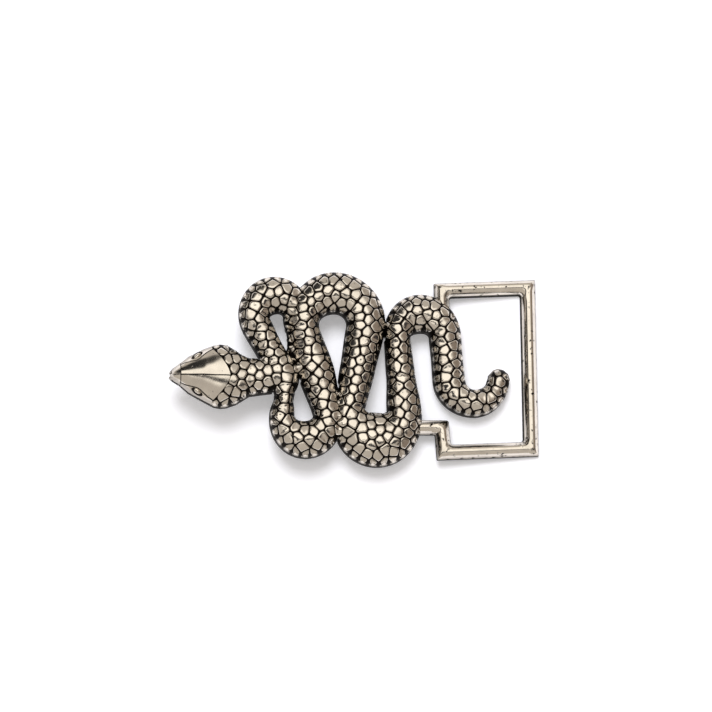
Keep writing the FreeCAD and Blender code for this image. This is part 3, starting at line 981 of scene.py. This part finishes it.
# Each eye is a bright ball in a dark socket that is a little wider in plan.
for side in (-1, 1):
    for growth, drop in ((SOCKET_GROWTH, SOCKET_DROP), (0.0, 0.0)):
        deselect_all()
        bpy.ops.mesh.primitive_uv_sphere_add(
            segments=24, ring_count=14, radius=1.0, location=(0.0, 0.0, 0.0))
        ball = bpy.context.active_object
        length, width, height = EYE_SIZE
        stretch = Matrix.Diagonal(Vector((length + 2.0 * growth, width + growth, height, 1.0)))
        turn = Matrix.Rotation(side * EYE_TURN, 4, "Z")
        out = 0.0 if growth else EYE_OUT
        eye_y = head_section(EYE_X)[0] + side * (EYE_OFFSET + out)
        spot = Vector((EYE_X, eye_y, EYE_HEIGHT - drop + out))
        ball.data.transform(Matrix.Translation(spot) @ turn @ stretch)
        for name in ("lift", "open"):
            layer = ball.data.attributes.new(name, "FLOAT", "POINT")
            for item in layer.data:
                item.value = 0.0 if growth else 1.0
        head_parts.append(ball)
deselect_all()
for part in head_parts:
    part.select_set(True)
bpy.context.view_layer.objects.active = head_parts[0]
bpy.ops.object.join()
head = bpy.context.active_object
head.name = "head_plates"
bpy.ops.object.shade_smooth_by_angle(angle=HEAD_SMOOTH_ANGLE)
put_in_place(head)
head.data.materials.append(silver)
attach(head, "root")

# Strap frame
# The frame that the belt strap folds round is a bar with a domed top, cast with
# the snake. Its left side is open, and both its ends run under the coils.
BAR_HALF_WIDTH = 2.1
ARM_DEPTH = 10.0
FRAME_LINE = [
    # x, y of the middle of the bar
    (24.0, 21.15 - ARM_DEPTH),
    (23.8, 21.15),
    (47.2, 22.3),
    (47.55, -21.8),
    (24.0, -22.9),
    (23.5, -16.2),
    (23.5 - ARM_DEPTH, -16.2),
]
BAR_LOOPS = [
    # share of the half width, height, corner radius, polish, roughness of the cast skin; the polish
    # falls off down both flanks, partly for patina there and partly as painted shade and painted dark
    # reflection
    (-1.0, 0.0, 0.7, 0.0, 0.6),
    (-0.94, 0.9, 0.8, 0.1, 0.6),
    (-0.82, 1.7, 1.0, 0.45, 0.5),
    (-0.72, 2.1, 1.3, 1.0, 0.5),
    (-0.42, 2.85, 2.0, 1.0, 0.5),
    (-0.28, 3.1, 2.0, 1.0, 0.5),
    (-0.10, 3.22, 1.8, 1.0, 0.6),
    (0.10, 3.25, 1.2, 1.0, 0.9),
    (0.30, 3.15, 0.9, 1.0, 0.6),
    (0.50, 2.9, 0.6, 0.8, 0.4),
    (0.84, 1.8, 0.3, 0.45, 0.8),
    (0.95, 1.3, 0.3, 0.38, 1.6),
    (1.0, 0.0, 0.3, 0.1, 2.0),
]
CORNER_STEPS = 6
BAR_STEP = 1.6
BAR_SMOOTH_ANGLE = math.radians(35.0)


def bar_loop(share, height, radius):
    """One edge line of the bar at a share of its half width, corners rounded."""
    headings = []
    for start, end in zip(FRAME_LINE, FRAME_LINE[1:]):
        headings.append(math.atan2(end[1] - start[1], end[0] - start[0]))
    corners = []
    for index, (x, y) in enumerate(FRAME_LINE):
        before = headings[max(0, index - 1)]
        after = headings[min(index, len(headings) - 1)]
        half_turn = 0.5 * math.remainder(after - before, FULL_TURN)
        across = left_of(before + half_turn)
        reach = BAR_HALF_WIDTH * share / math.cos(half_turn)
        corners.append(Vector((x + across[0] * reach, y + across[1] * reach, height)))
    line = []
    start = corners[0]
    for index in range(1, len(corners)):
        corner = corners[index]
        if index < len(corners) - 1:
            before = (corners[index] - corners[index - 1]).normalized()
            after = (corners[index + 1] - corners[index]).normalized()
            entry = corner - before * radius
            leave = corner + after * radius
        else:
            entry = corner
        steps = max(1, round(math.dist(FRAME_LINE[index - 1], FRAME_LINE[index]) / BAR_STEP))
        for step in range(steps + (index == len(corners) - 1)):
            line.append(start.lerp(entry, step / steps))
        if index < len(corners) - 1:
            for step in range(CORNER_STEPS + 1):
                t = step / CORNER_STEPS
                line.append(entry.lerp(corner, t).lerp(corner.lerp(leave, t), t))
            start = leave
    return line


lines = [bar_loop(*row[:3]) for row in BAR_LOOPS]
count = len(lines[0])
spots = [point for line in lines for point in line]
quads = []
for k in range(len(lines)):
    here = k * count
    there = (k + 1) % len(lines) * count
    for step in range(count - 1):
        quads.append((here + step, here + step + 1, there + step + 1, there + step))
quads.append([k * count for k in range(len(lines))])
quads.append([k * count + count - 1 for k in range(len(lines))])
strap_frame = new_piece("strap_frame", spots, quads)
bpy.ops.object.mode_set(mode="EDIT")
turn_outward()
bpy.ops.object.shade_smooth_by_angle(angle=BAR_SMOOTH_ANGLE)
for name, column in (("lift", 3), ("rough", 4), ("open", None)):
    layer = strap_frame.data.attributes.new(name, "FLOAT", "POINT")
    for index, item in enumerate(layer.data):
        item.value = 1.0 if column is None else BAR_LOOPS[index // count][column]
put_in_place(strap_frame)
strap_frame.data.materials.append(silver)
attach(strap_frame, "root")

# Belt hook
# The hook on the back is one plain bent rod that is pressed into the casting
# behind the neck. The belt's punched end slips over it.
rod = bpy.data.materials.new("drawn rod")
rod.use_nodes = True
rod_shader = rod.node_tree.nodes["Principled BSDF"]
rod_shader.inputs["Metallic"].default_value = 1.0
rod_tree = rod.node_tree
rod_place = add_node(rod_tree, "ShaderNodeTexCoord").outputs["Object"]
along_rod = add_node(rod_tree, "ShaderNodeMapping")
along_rod.inputs["Scale"].default_value = (120.0, 2500.0, 2500.0)
rod_tree.links.new(rod_place, along_rod.inputs["Vector"])
drawn = add_noise(rod_tree, along_rod.outputs["Vector"], 1.0, 3.0)
for name, result in (("Roughness", (0.26, 0.46)), ("Base Color", (0.48, 0.66))):
    spread = add_ramp(rod_tree, drawn, (0.3, 0.7), result, "LINEAR")
    rod_tree.links.new(spread.outputs["Result"], rod_shader.inputs[name])
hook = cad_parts["belt_hook"]
hook.data.materials.clear()
hook.data.materials.append(rod)

# Floor, light and camera
# The buckle lies on pale paper inside a light tent, under one soft lamp. The
# lens looks in through a dark gap in the tent's cloth.
bpy.ops.mesh.primitive_plane_add(size=3.0, location=(0.0, 0.0, 0.0))
floor = bpy.context.active_object
floor.name = "floor"
paper = bpy.data.materials.new("pale paper")
paper.use_nodes = True
paper_shader = paper.node_tree.nodes["Principled BSDF"]
paper_shader.inputs["Base Color"].default_value = (0.84, 0.85, 0.92, 1.0)
paper_shader.inputs["Roughness"].default_value = 0.9
paper_shader.inputs["Emission Color"].default_value = (1.0, 1.0, 1.0, 1.0)
paper_shader.inputs["Emission Strength"].default_value = 0.27
floor.data.materials.append(paper)

CAMERA_ELEVATION = math.radians(80.0)
TENT_COLOUR = (0.60, 0.56, 0.51, 1.0)
GAP_COLOUR = (0.02, 0.02, 0.025, 1.0)
GAP_EDGE = (0.11, 0.075)
world = bpy.data.worlds.new("studio")
world.use_nodes = True
bpy.context.scene.world = world
sky = world.node_tree
sky_colour = sky.nodes["Background"].inputs["Color"]
heading = add_node(sky, "ShaderNodeTexCoord").outputs["Generated"]


def patch_of_sky(toward, start, full):
    """How far a direction lies inside a round patch of the studio round toward."""
    dot = add_node(sky, "ShaderNodeVectorMath", operation="DOT_PRODUCT")
    dot.inputs[1].default_value = Vector(toward).normalized()
    sky.links.new(heading, dot.inputs[0])
    span = (math.cos(math.radians(start)), math.cos(math.radians(full)))
    return add_ramp(sky, dot.outputs["Value"], span).outputs["Result"]


STUDIO = [
    # direction, angle where it starts and where it is full, colour
    ((-0.10, 0.20, 1.0), 40.0, 26.0, (1.35, 1.30, 1.20, 1.0)),
    ((-0.85, 0.45, 0.52), 25.0, 15.0, (0.03, 0.03, 0.03, 1.0)),
    ((-0.36, 0.74, 0.60), 21.0, 14.0, (0.03, 0.03, 0.03, 1.0)),
    ((1.0, 0.0, 0.30), 50.0, 25.0, (0.30, 0.25, 0.21, 1.0)),
]
latest = None
for toward, start, full, tone in STUDIO:
    mixer = add_node(sky, "ShaderNodeMix", data_type="RGBA")
    sky.links.new(patch_of_sky(toward, start, full), mixer.inputs["Factor"])
    mixer.inputs["A"].default_value = TENT_COLOUR
    mixer.inputs["B"].default_value = tone
    if latest is not None:
        sky.links.new(latest, mixer.inputs["A"])
    latest = mixer.outputs["Result"]

# The dark gap in the tent that the camera looks through
gap_across = add_node(sky, "ShaderNodeVectorMath", operation="DOT_PRODUCT")
gap_across.inputs[1].default_value = (0.0, math.sin(CAMERA_ELEVATION), math.cos(CAMERA_ELEVATION))
sky.links.new(heading, gap_across.inputs[0])
gap_width = add_math(sky, "ABSOLUTE", gap_across.outputs["Value"])
gap = add_ramp(sky, gap_width, GAP_EDGE)
mixer = add_node(sky, "ShaderNodeMix", data_type="RGBA")
mixer.inputs["B"].default_value = GAP_COLOUR
sky.links.new(latest, mixer.inputs["A"])
sky.links.new(gap.outputs["Result"], mixer.inputs["Factor"])
sky.links.new(mixer.outputs["Result"], sky_colour)

key_light = bpy.data.lights.new("key light", "AREA")
key_light.shape = "DISK"
key_light.size = 0.42
key_light.energy = 5.0
key = bpy.data.objects.new("key light", key_light)
key.location = (-0.06, 0.34, 0.8)
key.rotation_euler = (-key.location).to_track_quat("-Z", "Y").to_euler()
key.visible_glossy = False
bpy.context.scene.collection.objects.link(key)

PICTURE_PIXELS = 712
PIXEL = 0.00027
CAMERA_DISTANCE = 1.2
CAMERA_ROLL = math.radians(-0.38)
aim = Vector((0.00087, 0.00493, 0.0))
eye = bpy.data.cameras.new("camera")
eye.lens = eye.sensor_width * CAMERA_DISTANCE / (PICTURE_PIXELS * PIXEL)
camera = bpy.data.objects.new("camera", eye)
back = Vector((0.0, -math.cos(CAMERA_ELEVATION), math.sin(CAMERA_ELEVATION)))
camera.location = aim + back * CAMERA_DISTANCE
roll = Quaternion((0.0, 0.0, 1.0), CAMERA_ROLL)
camera.rotation_euler = ((-back).to_track_quat("-Z", "Y") @ roll).to_euler()
bpy.context.scene.collection.objects.link(camera)
bpy.context.scene.camera = camera
bpy.context.scene.view_settings.view_transform = "Standard"
